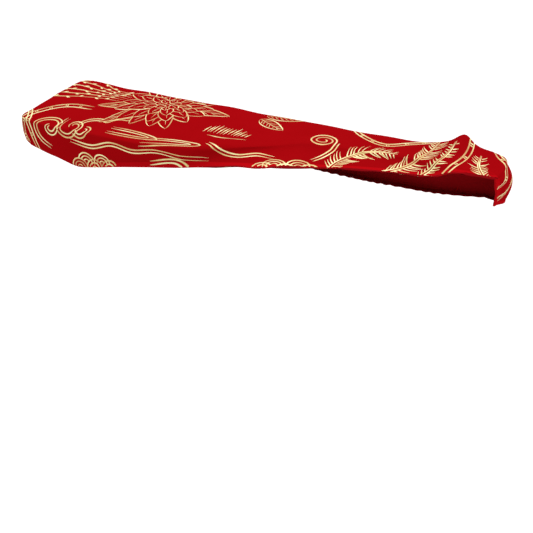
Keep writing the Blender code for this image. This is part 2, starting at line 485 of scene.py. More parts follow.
even = grid_normals(gathered(shaped))[ids]
outer = gathered(shaped + even * relief[..., None] + outward[:, None] * lip[..., None])
outer_normals = grid_normals(outer)
flat_points = gathered(flat)
print("outer face spans", np.ptp(outer, axis=0).round(1), "mm")

# %% [markdown]
# The print is drawn on the flat cloth, as a textile designer would draw it, and the cloth is then cut
# along every line, so that ink and cloth are faces of one smooth surface. A printed picture would be
# simpler but blurs close up, and raised threads would be wrong, because this gold is flat ink. Lines are
# drawn in two ways: through a few listed places, or as a path that bends more and less on its way.

# %% lines
PEN_STEP = 6.0


def curve(*knots, step=PEN_STEP):
    """Give evenly spaced points on a smooth line through a few listed places."""
    knots = np.array(knots, float)
    run = np.concatenate([[0], np.cumsum(lengths(np.diff(knots, axis=0))[:, 0])])
    slopes = np.gradient(knots, run, axis=0)
    at = np.linspace(0, run[-1], max(3, math.ceil(run[-1] / step) + 1))
    cell = np.clip(np.searchsorted(run, at) - 1, 0, len(run) - 2)
    width = (run[cell + 1] - run[cell])[:, None]
    part = ((at - run[cell]) / width[:, 0])[:, None]
    return cubic(part, width, knots[cell], knots[cell + 1], slopes[cell], slopes[cell + 1])


def trail(start, heading, *bends, step=3.0):
    """Give points on a line that starts at a place and a heading, and bends on its way.

    Each bend is a length in millimetres and the degrees that a centimetre turns at its start and end.
    """
    turns = np.concatenate([np.linspace(a, b, max(2, round(length / step))) for length, a, b in bends])
    angles = np.radians(heading + np.cumsum(turns) * step / 10)
    steps = np.stack([np.cos(angles), np.sin(angles)], 1) * step
    return np.concatenate([[start], np.array(start) + np.cumsum(steps, axis=0)])


def sideways(points, distance):
    """Give the line that runs beside another, to its left if the distance is positive."""
    ahead = np.gradient(points, axis=0)
    left = np.stack([-ahead[:, 1], ahead[:, 0]], 1) / np.maximum(lengths(ahead), NO_LENGTH)
    return points + left * distance


def placed(place, turned=0.0, size=1.0):
    """Give a function that moves points drawn about the origin to their place on the cloth."""
    c, s = math.cos(math.radians(turned)) * size, math.sin(math.radians(turned)) * size
    return lambda points: np.array(points, float) @ np.array([[c, s], [-s, c]]) + place


print("lines have a point about every", PEN_STEP, "mm")

# %% [markdown]
# A stroke is a strip between a left and a right edge, thick in its middle and thin at its tips, as a
# brush leaves it. The brush is held slanted like a broad pen, so strokes along the cover are bolder than
# strokes across it. Each stroke has a glow of its own that drifts along it. A strip with no glow is bare
# cloth.

# %% pen
TIP_WIDTH = 0.5
TIP_PART = 0.01
THINNING = 0.65
NIB_ALONG = 0.95
NIB_ACROSS = 0.71
GLOW = (0.35, 0.8)
GLOW_DRIFT = 0.22
GLOW_LEAST = 0.1
GLOW_WAVES = (0.6, 1.6)
RIBBON_LINE = 4.4
SECOND_LINE = 0.85

hand = random.Random(7)
strips = []


def stroke(points, width, start, end, glow=None):
    """Lay a stroke of ink along a line. Start and end are the shares of it over which it thins out."""
    part = np.linspace(0, 1, len(points))
    full = np.minimum(1, (part + TIP_PART) / start) * np.minimum(1, (1 + TIP_PART - part) / end)
    ahead = np.gradient(points, axis=0)
    along = abs(ahead[:, 0]) / np.maximum(lengths(ahead)[:, 0], NO_LENGTH)
    nib = NIB_ACROSS + (NIB_ALONG - NIB_ACROSS) * along
    half = np.maximum(TIP_WIDTH, width * nib * np.minimum(1, full) ** THINNING)[:, None] / 2
    glow = hand.uniform(*GLOW) if glow is None else glow
    drifting = np.sin((part * hand.uniform(*GLOW_WAVES) + hand.random()) * 2 * math.pi)
    glows = np.clip(glow + GLOW_DRIFT * drifting, GLOW_LEAST, 1)[1:]
    strips.append((sideways(points, half), sideways(points, -half), glows))


def double(points, gap, start, end):
    """Lay two strokes side by side, which is how this print draws its ribbons and canes."""
    stroke(sideways(points, gap / 2), RIBBON_LINE, start, end)
    stroke(sideways(points, -gap / 2), RIBBON_LINE * SECOND_LINE, start, end)


def bare(left, right):
    """Lay bare cloth over what was drawn before, between two edges."""
    strips.append((left, right, np.zeros(len(left) - 1)))


print("pen ready, ribbons have lines of", RIBBON_LINE, "mm")

# %% [markdown]
# Clouds are an old motif of this kind of cloth: a ribbon of two lines that uncurls, swells into lobes and
# runs out in a long tail. A spiral by formula looks stiff, so the ribbon is walked like a path that bends
# more and less on its way. Each puff of a cloud first lays bare cloth over what is behind it, so that
# they overlap cleanly.

# %% scroll clouds
CLOUD_GAP = 9.5
CLOUD_LINE = 4.6
CLOUD_SECOND_LINE = 0.8


def puff(at, start, heading, *bends):
    """Lay the ribbon of a cloud, with bare cloth inside its bend."""
    line = trail(start, heading, *bends)
    bare(at(line), at(line * 0 + line.mean(axis=0)))
    stroke(at(sideways(line, CLOUD_GAP / 2)), CLOUD_LINE, start=0.04, end=0.2)
    stroke(at(sideways(line, -CLOUD_GAP / 2)), CLOUD_LINE * CLOUD_SECOND_LINE, start=0.04, end=0.2)


def ribbon(at, *knots, gap=CLOUD_GAP, end=0.5):
    """Lay a ribbon of two lines through listed places."""
    double(at(curve(*knots)), gap, start=0.12, end=end)


def cloud(place, turned, size, tails=True):
    """Lay a cloud: a tail of ribbons, a small curl at the back and a large lobed one in front."""
    at = placed(place, turned, size)
    if tails:
        ribbon(at, (-10, -44), (-70, -52), (-130, -38), (-190, -50), (-250, -40))
        ribbon(at, (-60, 30), (-110, 24), (-150, 34), (-210, 26), end=0.7)
    puff(at, (-58, 12), 200, (26, 60, 40), (70, 34, 17), (64, 15, 15), (60, 15, 12), (26, 8, -4))
    puff(at, (52, 22), 30, (30, -60, -36), (70, -32, -15), (80, -14, -10), (4, 130, 130), (52, -15, -15),
         (4, 130, 130), (56, -15, -17), (4, 120, 120), (44, -20, -14))
    puff(at, (8, 18), 160, (24, -70, -50), (60, -34, -20), (70, -18, -16), (30, -12, -4))
    if tails:
        ribbon(at, (84, -6), (120, -16), (152, -4), (196, -12), end=0.7)


print("clouds have ribbons", CLOUD_GAP, "mm wide")

# %% [markdown]
# Waves are nested arcs that stand in rows, each row half hidden by the one before it. The rear row is
# drawn first, and each wave lays bare cloth under its arcs, so nothing has to be trimmed by hand.

# %% waves
WAVE_FROM = 196.0
WAVE_TO = -16.0
WAVE_ARCS = 3
WAVE_GAP = 10.0
WAVE_STEP = 2.6
WAVE_LINE = 4.4
WAVE_THINNER = 0.5
WAVE_APART = 1.9
WAVE_ROW_APART = 0.62
WAVE_SIZES = (0.94, 1.06)


def wave(at, centre, radius):
    """Lay one wave: bare cloth under nested half rings."""
    angles = np.radians(np.linspace(WAVE_FROM, WAVE_TO, max(9, round(radius / WAVE_STEP))))
    half_ring = np.stack([np.cos(angles), np.sin(angles)], 1)
    bare(at(half_ring * 0 + centre), at(half_ring * radius + centre))
    for k in range(WAVE_ARCS):
        share = (radius - WAVE_GAP * k) / radius
        keep = slice(0, None) if k < 2 else slice(2, -2)
        width = WAVE_LINE - WAVE_THINNER * k
        stroke(at(half_ring[keep] * radius * share + centre), width, start=0.1, end=0.1)


def waves(place, turned, rows, radius):
    """Lay rows of waves, the rear row first. Each row has its number of waves."""
    at = placed(place, turned)
    for row, count in enumerate(rows):
        for k in range(count):
            centre = ((k - (count - 1) / 2) * radius * WAVE_APART, -row * radius * WAVE_ROW_APART)
            wave(at, centre, radius * hand.uniform(*WAVE_SIZES))


print("waves have", WAVE_ARCS, "arcs,", WAVE_GAP, "mm apart")

# %% [markdown]
# Streams run between the clouds: sets of long tongues, where a line runs out, turns round a narrow tip
# and comes back. A shorter tongue lies inside each, and a wavy ribbon runs under them. They are drawn
# from their middle line, so that both sides bend together.

# %% streams
TONGUE_SWAY = 0.5
TONGUE_TIP = 2.4
TONGUE_LEAST = 0.6
TONGUE_LINES = ((0.0, 1.0, 4.0), (CLOUD_GAP, 0.84, 3.2))


def tongue(at, root, heading, length, spread):
    """Lay one tongue of a stream, with a shorter one inside it."""
    middle_line = trail(root, heading, (length * 0.5, TONGUE_SWAY, -TONGUE_SWAY),
                        (length * 0.5, -TONGUE_SWAY, -TONGUE_SWAY * 2), step=5.0)
    for inset, share, width in TONGUE_LINES:
        part = np.linspace(0, 1, int(len(middle_line) * share))
        half = (np.maximum(0, spread / 2 - inset) * (1 - part ** TONGUE_TIP) ** 0.5 + TONGUE_LEAST)[:, None]
        spine = middle_line[:len(part)]
        there, back = sideways(spine, half), sideways(spine, -half)
        stroke(at(np.concatenate([there[::2], back[::-1][::2]])), width, start=0.16, end=0.22)


def stream(place, turned):
    """Lay a stream: two tongues that follow each other and a long wavy ribbon under them."""
    at = placed(place, turned)
    tongue(at, (-90, 30), -4, 170, 34)
    tongue(at, (40, 0), 3, 180, 36)
    ribbon(at, (-210, -28), (-130, -40), (-60, -26), (10, -38), (90, -30), (170, -44), (250, -30))


print("a tongue has", len(TONGUE_LINES), "lines")

# %% [markdown]
# Petals and leaves are both pointed blades. A blade hides what lies under it, and its two sides swell in
# the middle and meet in a tip. One function draws both, so that they look as if one hand had drawn them.

# %% blade
BLADE_LEAST = 0.3


def blade(at, spine, width, belly, fullness, lines, starts, end):
    """Lay a blade: bare cloth with two sides. Give its left side, its right side and half its width."""
    part = np.linspace(0, 1, len(spine))
    half = (width / 2 * np.sin(math.pi * part ** belly) ** fullness)[:, None] + BLADE_LEAST
    left, right = sideways(spine, half), sideways(spine, -half)
    bare(at(left), at(right))
    stroke(at(left), lines[0], start=starts[0], end=end)
    stroke(at(right), lines[1], start=starts[1], end=end)
    return left, right, half


print("a blade is at least", 2 * BLADE_LEAST, "mm wide")

# %% [markdown]
# The great bloom has rings of narrow petals, from the widest at the back to the smallest in front, with a
# fine line up the inside of each. Petals laid strictly in turn would each cover the next, like a fan. So
# the petals of a ring are laid in a shuffled order.

# %% petals and bloom
PETAL_SWIRL = 0.9
PETAL_BELLY = 0.85
PETAL_FULLNESS = 0.72
PETAL_RINGS = ((150, 16, 46), (112, 13, 43), (76, 10, 36), (43, 7, 26))
PETAL_ROOT = 0.22
PETAL_LENGTH = 0.78
PETAL_LENGTHS = (0.9, 1.06)
PETAL_WIDTHS = (0.9, 1.1)
PETAL_LINE = 3.8
PETAL_THINNER = 0.3
PETAL_VEIN_LINE = 2.4
PETAL_VEIN_FROM = 0.3
PETAL_VEIN_TO = 0.86
HEART_PETALS = 4
HEART_SIZE = (19, 12)
HEART_TURN = 20
HEART_LINE = 2.6


def petal(at, root, heading, length, width, line, veined=True):
    """Lay one petal: bare cloth with two strong sides and a fine line inside.

    Its path starts half of its bend back, so that its middle points along the heading.
    """
    spine = trail(root, heading - PETAL_SWIRL * length / 20, (length, PETAL_SWIRL, PETAL_SWIRL),
                  step=max(3.0, length / 16))
    lines = (line, line * SECOND_LINE)
    half = blade(at, spine, width, PETAL_BELLY, PETAL_FULLNESS, lines, (0.35, 0.3), 0.12)[2]
    if veined:
        ends = [int(len(spine) * share) for share in (PETAL_VEIN_FROM, PETAL_VEIN_TO)]
        vein = sideways(spine, half * 0.1)[slice(*ends, 2)]
        stroke(at(vein), PETAL_VEIN_LINE, start=0.5, end=0.6)


def bloom(place, turned, size):
    """Lay a many-petalled bloom. Each ring has its reach, its number of petals and their width."""
    at = placed(place, turned, size)
    for number, (reach, count, width) in enumerate(PETAL_RINGS):
        order = list(range(count))
        hand.shuffle(order)
        for k in order:
            heading = 360 * (k + 0.5 * (number % 2)) / count + hand.uniform(-3, 3)
            toward = np.array([math.cos(math.radians(heading)), math.sin(math.radians(heading))])
            length = reach * PETAL_LENGTH * hand.uniform(*PETAL_LENGTHS)
            petal(at, toward * reach * PETAL_ROOT, heading, length, width * hand.uniform(*PETAL_WIDTHS),
                  PETAL_LINE - PETAL_THINNER * number)
    for k in range(HEART_PETALS):
        petal(at, (0, 0), 360 / HEART_PETALS * k + HEART_TURN, *HEART_SIZE, HEART_LINE, veined=False)


print("a bloom has", sum(count for _, count, _ in PETAL_RINGS) + HEART_PETALS, "petals")

# %% [markdown]
# Fronds are what fill the right of the cover: a stem of two lines with many pointed leaflets, broad at
# the root and leaning to the tip. Even spacing would look like a comb. So the leaflets stand in small
# groups with gaps, and each group leans over a little more as it goes, as quick brush strokes do.

# %% fronds
STEM_STEP = 2.0
STEM_GAP = 8.0
STEM_BARE = 0.12
STEM_END = 6
STEM_LINE = 3.6
STEM_TIP = 0.25
LEAFLET_PITCH = 10.2
LEAFLET_GAPS = (0.8, 1.1)
LEAFLET_LEAN = 52.0
LEAFLET_LAG = 1.6
LEAFLET_CURL = (4.5, 11)
LEAFLET_LENGTHS = (0.74, 1.12)
LEAFLET_LINE = 4.0
LEAFLET_WIDTHS = (0.8, 1.12)
LEAFLET_GLOWS = (0.55, 0.95)
FIRST_GROUP = (5, 8)
LATER_GROUPS = (4, 9)
GROUP_GAPS = (0.6, 1.3)


def frond(knots, length, sides=(1, -1)):
    """Lay a frond along a stem through listed places."""
    stem = curve(*knots, step=STEM_STEP)
    ahead = np.gradient(stem, axis=0)
    headings = np.degrees(np.unwrap(np.arctan2(ahead[:, 1], ahead[:, 0])))
    total = STEM_STEP * (len(stem) - 1)
    for side in sides:
        run, left_in_group, lag = total * STEM_BARE, hand.randint(*FIRST_GROUP), 0.0
        while run < total - STEM_END:
            k = int(run / STEM_STEP)
            grown = math.sin(math.pi * min(1, 0.12 + run / total * 0.86)) ** 0.55
            reach = length * grown * hand.uniform(*LEAFLET_LENGTHS)
            angle = headings[k] + side * (LEAFLET_LEAN + lag + hand.uniform(-4, 4))
            root = sideways(stem, side * STEM_GAP / 2)[k]
            bend = (reach, -side * LEAFLET_CURL[0], -side * LEAFLET_CURL[1])
            leaflet = trail(root, angle, bend, step=4.0)
            width = LEAFLET_LINE * hand.uniform(*LEAFLET_WIDTHS)
            stroke(leaflet, width, start=0.02, end=0.95, glow=hand.uniform(*LEAFLET_GLOWS))
            run += LEAFLET_PITCH * hand.uniform(*LEAFLET_GAPS)
            left_in_group -= 1
            lag += LEAFLET_LAG
            if left_in_group == 0:
                run += LEAFLET_PITCH * hand.uniform(*GROUP_GAPS)
                left_in_group, lag = hand.randint(*LATER_GROUPS), 0.0
    taper = np.linspace(1, STEM_TIP, len(stem))[:, None]
    for side in (1, -1):
        stroke(sideways(stem, side * STEM_GAP / 2 * taper)[::3], STEM_LINE, start=0.04, end=0.3)


print("leaflets lean", LEAFLET_LEAN, "degrees from their stem")

# %% [markdown]
# Canes and coils are drawn with two lines as well. A cane has rungs where it is jointed, and a coil winds
# in on itself like a vine's tip. The coil is a spiral by formula, because its turns have to keep apart.

# %% canes and coils
CANE_GAP = 11.0
CANE_JOINT = 46.0
FIRST_RUNG = 0.6
LAST_RUNG = 8
RUNG_LINE = 3.6
COIL_TURNS = 2.2
COIL_CLOSING = 0.8
COIL_LINES = (5.0, 4.0)


def cane(knots, gap=CANE_GAP):
    """Lay a cane: two lines with a rung at each joint, through listed places."""
    line = curve(*knots)
    double(line, gap, start=0.04, end=0.1)
    for run in np.arange(CANE_JOINT * FIRST_RUNG, PEN_STEP * len(line) - LAST_RUNG, CANE_JOINT):
        for k in (int(run / PEN_STEP), int(run / PEN_STEP) + 1):
            edge, other = sideways(line, gap / 2)[k], sideways(line, -gap / 2)[k]
            stroke(np.array([edge, (edge + other) / 2, other]), RUNG_LINE, start=0.3, end=0.3)


def coil(place, turned, reach):
    """Lay a coil of two lines with a long arm."""
    at = placed(place, turned)
    part = np.linspace(0, 1, round(reach * COIL_TURNS * 1.1))
    angles = part ** 0.8 * COIL_TURNS * 2 * math.pi
    winding = np.stack([np.cos(angles), np.sin(angles)], 1) * (reach * (1 - COIL_CLOSING * part))[:, None]
    bare(at(winding * 0), at(winding))
    arm = curve((reach * 0.2, -reach * 2.6), (reach * 0.7, -reach * 1.7), (reach * 1.02, -reach * 0.7),
                (reach, 0))
    stroke(at(np.concatenate([arm[:-1], winding])), COIL_LINES[0], start=0.1, end=0.06)
    stroke(at(sideways(arm, -CLOUD_GAP)), COIL_LINES[1], start=0.1, end=0.1)


print("canes are jointed every", CANE_JOINT, "mm")

# %% [markdown]
# A leaf is a blade with a middle rib and close side veins. The veins start at the rib and bow forward a
# little on their way to the edge. They end short of it, so that the ink doesn't run together there.

# %% leaves
LEAF_BELLY = 0.75
LEAF_FULLNESS = 0.8
LEAF_LINES = (4.2, 3.4)
RIB_LINE = 3.0
LEAF_VEINS = 6
VEIN_LINE = 2.5
VEIN_REACH = 0.16
VEIN_BOW = (0.04, -0.04)


def leaf(at, root, heading, length, width, sway=1.4):
    """Lay a leaf with a middle rib and close side veins."""
    spine = trail(root, heading, (length, sway, -sway * 0.7), step=3.5)
    left, right, _ = blade(at, spine, width, LEAF_BELLY, LEAF_FULLNESS, LEAF_LINES, (0.2, 0.2), 0.1)
    stroke(at(spine[::2]), RIB_LINE, start=0.1, end=0.5)
    for k in range(LEAF_VEINS):
        k_root = int((0.1 + 0.72 * k / LEAF_VEINS) * len(spine))
        k_tip = min(len(spine) - 1, k_root + max(2, int(len(spine) * VEIN_REACH)))
        for edge in (left, right):
            tip = spine[k_tip] + (edge[k_tip] - spine[k_tip]) * 0.8
            bowed = (spine[k_root] + tip) / 2 + (tip - spine[k_root])[::-1] * VEIN_BOW
            stroke(at(np.array([spine[k_root], bowed, tip])), VEIN_LINE, start=0.1, end=0.7)


print("a leaf has", LEAF_VEINS, "veins on each side")

# %% [markdown]
# Small things fill the gaps: willow wands with buds, now on one side and now on the other, and tufts of
# quick strokes over a ground line. Each bud is a single short stroke of the brush, and so is each
# blade of a tuft.

# %% wands and tufts
WAND_STEP = 9
WAND_LINE = 4.2
WAND_BUDS = 6
BUD_LENGTHS = (15, 19)
BUD_LEAN = 40
BUD_CURL = (12, 26)
BRUSH_LINE = 7.0
TUFT_STROKES = 13
TUFT_PITCH = 10.5
TUFT_HEIGHTS = (0.7, 1.1)
GROUND_LINE = 4.4


def wand(knots):
    """Lay a willow wand: one long thin line with small buds, now on one side, now on the other."""
    line = curve(*knots, step=WAND_STEP)
    stroke(line, WAND_LINE, start=0.05, end=0.5)
    ahead = np.gradient(line, axis=0)
    for k in range(WAND_BUDS):
        here = int(len(line) * (0.12 + 0.8 * k / WAND_BUDS + hand.uniform(0, 0.05)))
        heading = math.degrees(math.atan2(ahead[here, 1], ahead[here, 0]))
        side = 1 if k % 2 else -1
        bend = (hand.uniform(*BUD_LENGTHS), -side * BUD_CURL[0], -side * BUD_CURL[1])
        bud = trail(line[here], heading + side * BUD_LEAN, bend, step=3.4)
        stroke(bud, BRUSH_LINE, start=0.5, end=0.4, glow=0.9)


def tuft(place, height):
    """Lay a tuft of quick strokes over a ground line."""
    at = placed(place)
    for k in range(TUFT_STROKES):
        x = (k - TUFT_STROKES / 2) * TUFT_PITCH + hand.uniform(-2, 2)
        share = 0.5 + 0.5 * math.sin(math.pi * (k + 0.5) / TUFT_STROKES)
        tall = height * share * hand.uniform(*TUFT_HEIGHTS)
        line = [(x, 5 + hand.uniform(-3, 3)), (x + 2, 5 + tall * 0.5), (x + 5, 5 + tall)]
        stroke(at(line), BRUSH_LINE, start=0.3, end=0.7, glow=0.85)
    ground = curve((-TUFT_STROKES * 3.6, -10), (0, -16), (TUFT_STROKES * 5.6, -9))
    stroke(at(ground), GROUND_LINE, start=0.3, end=0.5)


print("motifs ready")

# %% [markdown]
# Now the motifs are set out over the whole flat cloth, walls and tuck included, as a repeat would be laid
# out on a table. What is laid later hides what lies under it. The left is full: wands at the rear,
# clouds, waves and canes in front, and the great bloom with its leaves.

# %% the left of the print
stream((-190, 156), 182)
cloud((-520, 160), 184, 0.95)
for k in range(6):
    wand([(-745 + 14 * k, -110 + 36 * k), (-640 + 12 * k, -84 + 28 * k), (-530, -56 + 18 * k),
          (-440 + 4 * k, -44 + 13 * k)])
cane([(-700, -392), (-664, -286), (-640, -190), (-580, -128), (-486, -112)], gap=15)
cane([(-806, -120), (-716, -156), (-650, -206), (-612, -300), (-600, -400)])
cloud((-486, -240), 2, 1.15, tails=False)
waves((-392, -322), 4, (2, 3), 30)
waves((-700, -318), 20, (2, 1), 34)
beside_bloom = placed((-290, -6))
for heading, length, width in ((-4, 214, 60), (200, 214, 50), (230, 206, 50)):
    leaf(beside_bloom, (0, 0), heading, length, width, sway=0.8)
bloom((-290, -6), 12, 1.04)
print("left:", len(strips), "strips")

# %% [markdown]
# The middle stays open, so that the eye rests there: a stream and two ribbons low down, a pair of leaves,
# one tuft, a few waves and a coil.

# %% the middle of the print
stream((-262, -224), 3)
ribbon(placed((0, 0)), (-190, -286), (-110, -272), (-40, -280), (40, -254), (104, -246))
leafy = placed((10, 30), -12)
leaf(leafy, (0, 20), 14, 112, 46)
leaf(leafy, (4, -12), -18, 100, 42)
tuft((-20, -128), 58)
ribbon(placed((0, 0)), (-34, -186), (10, -206), (64, -204), (112, -176), (150, -168), gap=10, end=0.3)
waves((192, -190), 24, (2, 3), 30)
coil((226, -40), 0, 36)
print("left and middle:", len(strips), "strips")

# %% [markdown]
# Fronds and canes crowd the right, over the peak and down the end. The rear wall has a smaller bloom, a
# frond and a cloud, because the print goes all round the cloth.

# %% the right and the rear of the print
frond([(286, -172), (296, -112), (328, -62), (376, -38), (424, -36)], 38)
cane([(250, 92), (300, 40), (372, 8), (440, 40), (500, 60)])
frond([(396, -118), (436, -90), (472, -48), (494, 6), (502, 66)], 38)
frond([(486, -112), (512, -72), (534, -22), (544, 40)], 20)
cane([(538, -110), (566, -40), (580, 30), (566, 110)])
frond([(650, -84), (626, -50), (612, -12), (608, 30)], 24)
cane([(600, 134), (628, 76), (662, 28), (702, -8), (756, -34)])
frond([(690, 100), (722, 68), (754, 38), (788, 12)], 26, sides=(1,))
bloom((60, 150), 0, 0.5)
frond([(140, 150), (220, 132), (310, 150), (400, 140)], 38)
cloud((500, 168), 176, 0.9)
print("print:", len(strips), "strips,", sum(len(left) - 1 for left, _, _ in strips), "pieces")

# %% [markdown]
# The strips become triangles. Ink stops a little before the edge of the cloth, and at the turn where the
# hem is narrow, because a printer's frame ends before the hem is sewn. Slivers too thin to see are left
# out.

# %% triangles of ink and of bare cloth
SLIVER = 0.05
HEM_MARGIN = 3.0
NARROW_TUCK = 12.0


def inside(points, outline):
    """Tell for each point whether it lies within a closed outline."""
    x, y = points[:, :1], points[:, 1:]
    here, after = outline[None], np.roll(outline, -1, axis=0)[None]
    level = (here[..., 1] > y) != (after[..., 1] > y)
    rise = np.where(after[..., 1] == here[..., 1], 1, after[..., 1] - here[..., 1])
    crossing = (after[..., 0] - here[..., 0]) * (y - here[..., 1]) / rise + here[..., 0]
    return np.sum(level & (x < crossing), axis=1) % 2 == 1


def cross(a, b):
    """Give the turn from one flat arrow to another."""
    return a[..., 0] * b[..., 1] - a[..., 1] * b[..., 0]


narrow = (ring["tuck"] < NARROW_TUCK)[:, None]
ink_limit = np.where(narrow, flat[:, TURN_ROW + TURN_ROWS], flat[:, -1] - outward[:, :2] * HEM_MARGIN)
pieces, piece_glow = [], []
for left, right, glow in strips:
    kept = inside(left, ink_limit) & inside(right, ink_limit)
    kept = np.flatnonzero(kept[:-1] & kept[1:])
    for corners in ((left[:-1], right[:-1], right[1:]), (left[:-1], right[1:], left[1:])):
        pieces.append(np.stack(corners, 1)[kept])
        piece_glow.append(np.asarray(glow)[kept])
pieces, piece_glow = np.concatenate(pieces), np.concatenate(piece_glow)
area = cross(pieces[:, 1] - pieces[:, 0], pieces[:, 2] - pieces[:, 0])
pieces[area < 0] = pieces[area < 0][:, ::-1]
sides = [lengths(pieces[:, k] - pieces[:, k - 1])[:, 0] for k in range(3)]
broad = abs(area) > SLIVER * np.max(sides, axis=0)
pieces, piece_glow = pieces[broad], piece_glow[broad]
print("pieces drawn:", len(pieces))

# %% [markdown]
# Strips lie over strips, so some of them hardly show. They are first painted in order onto squared paper,
# each square keeping the last one laid on it. Ink that keeps no square is dropped, and so is bare cloth
# that covers no ink that is left. That saves most of the cuts under the petals.

# %% leave out what is hidden
SQUARE = 0.8
PAPER_MARGIN = 4


def within(corners, spots):
    """Tell which spots lie in a triangle whose corners go round to the left."""
    sides = [cross(corners[(k + 1) % 3] - corners[k], spots - corners[k]) >= 0 for k in range(3)]
    return sides[0] & sides[1] & sides[2]


paper_low = flat_points.min(axis=0) - PAPER_MARGIN * SQUARE
paper = np.full(np.ceil(np.ptp(flat_points, axis=0) / SQUARE).astype(int) + 2 * PAPER_MARGIN, -1)
covers = [set() for _ in pieces]
for number, (corners, glow) in enumerate(zip((pieces - paper_low) / SQUARE, piece_glow)):
    low, high = np.floor(corners.min(axis=0)).astype(int), np.ceil(corners.max(axis=0)).astype(int) + 1
    patch = paper[low[0]:high[0], low[1]:high[1]]
    hit = within(corners, np.moveaxis(np.indices(patch.shape), 0, -1) + low + 0.5)
    hit[tuple((corners.mean(axis=0) - low).astype(int))] = True
    if glow == 0:
        covers[number] = set(patch[hit].tolist())
    patch[hit] = number
showing = set(np.unique(paper).tolist()) - {-1}
inky = {k for k in showing if piece_glow[k] > 0}
kept_pieces = [k for k in range(len(pieces)) if k in inky or covers[k] & inky]
print("pieces that show:", len(showing), " kept for the cut:", len(kept_pieces))

# %% [markdown]
# The flat cloth is now cut along every strip that is left. The cutting keeps the points of the grid and
# adds those of the strips. The strip laid last on the middle of a triangle decides whether it is ink or
# bare cloth, so a petal hides the lines under it just as in a drawing on paper.

# %% cut the cloth along the print
KEEP_ALL = 0
NEAREST = 1e-4

outline_size = len(flat_points)
cut_points = np.concatenate([flat_points, pieces[kept_pieces].reshape(-1, 2)])
corner_ids = outline_size + np.arange(3 * len(kept_pieces)).reshape(-1, 3)
piece_edges = corner_ids[:, [0, 1, 1, 2, 2, 0]].reshape(-1, 2)
places, _, faces, from_points, _, from_faces = geometry.delaunay_2d_cdt(
    [Vector(p) for p in cut_points], piece_edges.tolist(), [ids[:, -1].tolist()], KEEP_ALL, NEAREST, True)
cut_triangles = np.array([face for face, origin in zip(faces, from_faces) if origin])
flat_places = np.array([tuple(p) for p in places])
centres = flat_places[cut_triangles].mean(axis=1)
by_x = np.argsort(centres[:, 0])
sorted_x = centres[by_x, 0]
cut_glow = np.zeros(len(cut_triangles))
for corners, glow in zip(pieces[kept_pieces], piece_glow[kept_pieces]):
    near = by_x[slice(*np.searchsorted(sorted_x, [corners[:, 0].min(), corners[:, 0].max()]))]
    cut_glow[near[within(corners, centres[near])]] = glow
print("cut into", len(cut_triangles), "triangles,", int((cut_glow > 0).sum()), "of them ink")

# %% [markdown]
# Each new point needs its place on the form. A ray straight down through the flat grid finds the triangle
# that the point lies in, and the point takes its share of that triangle's three corners. The grid's own
# points keep their places exactly, so the form doesn't change. The distance from the cut edge goes along
# in the same way.

# %% carry the cut cloth onto its form
flat_ground = [(x, y, 0) for x, y in flat_points]
flat_tree = BVHTree.FromPolygons(flat_ground, triangles.tolist(), all_triangles=True)
grid_from_edge = gathered(down[:, -1:] - down)
cut_from_edge = np.zeros(len(places))
cut_places = np.zeros((len(places), 3))
cut_normals = np.zeros((len(places), 3))
for number, (place, origin) in enumerate(zip(places, from_points)):
    known = [k for k in origin if k < outline_size]
    if known:
        cut_places[number], cut_normals[number] = outer[known[0]], outer_normals[known[0]]
        cut_from_edge[number] = grid_from_edge[known[0]]
        continue
    below = flat_tree.ray_cast((*place, 1), (0, 0, -1))[2]
    if below is None:
        continue
    corners = triangles[below]
    flat_corners = [Vector((*flat_points[c], 0)) for c in corners]
    shares = geometry.barycentric_transform(Vector((*place, 0)), *flat_corners, *np.eye(3).tolist())
    weights = np.array(shares)
    cut_places[number], cut_normals[number] = weights @ outer[corners], weights @ outer_normals[corners]
    cut_from_edge[number] = weights @ grid_from_edge[corners]
print("placed", len(places), "points on the form")

# %% [markdown]
# Cloth has a second face. The inner face follows the outer one at the thickness of the knit, on fewer
# rows, because nothing is printed there. Near the edge the cloth is turned over its elastic, so it is
# thicker, and the two faces meet there in a rounded lip. A solidify modifier would thicken every small
# triangle of the print as well, for no gain.

# %% inner face and hem
CLOTH_THICK = 1.2
HEM_THICK = 3.4
HEM_END = 0.6
LIP_ROUND = 1.4
HEM_ROWS = 4
INNER_ROWS = [0, 4, 8, 11, 13, 14, 16, 18, 20, 23, 26, 29, *range(32, LEVELS)]

thick = np.full(LEVELS, CLOTH_THICK)
thick[-HEM_ROWS:-1] = HEM_THICK
thick[-1] = HEM_THICK * HEM_END
hem_grow = gathered(np.tile((thick - CLOTH_THICK) / 2, (STATIONS, 1))[..., None])
swollen = outer + outer_normals * hem_grow
inner = swollen - outer_normals * gathered(np.tile(thick, (STATIONS, 1))[..., None])
lip_edge = (swollen + inner)[ids[:, -1]] / 2 - outward * LIP_ROUND
inner_ids = ids[:, INNER_ROWS]
print("inner face:", inner_ids.shape, "hem_highlight", HEM_THICK, "mm thick")

# %% [markdown]
# The printed face, the inner face and the lip between them are joined into one closed form, like the
# cloth itself. Three separate pieces would look the same but would leave gaps at the hem. Points that no
# face uses are dropped.

# %% one closed form
def strip_quads(here, there):
    """Join two closed rings of point numbers with quads that face away from the cloth's middle."""
    return np.stack([here, there, np.roll(there, -1), np.roll(here, -1)], -1)


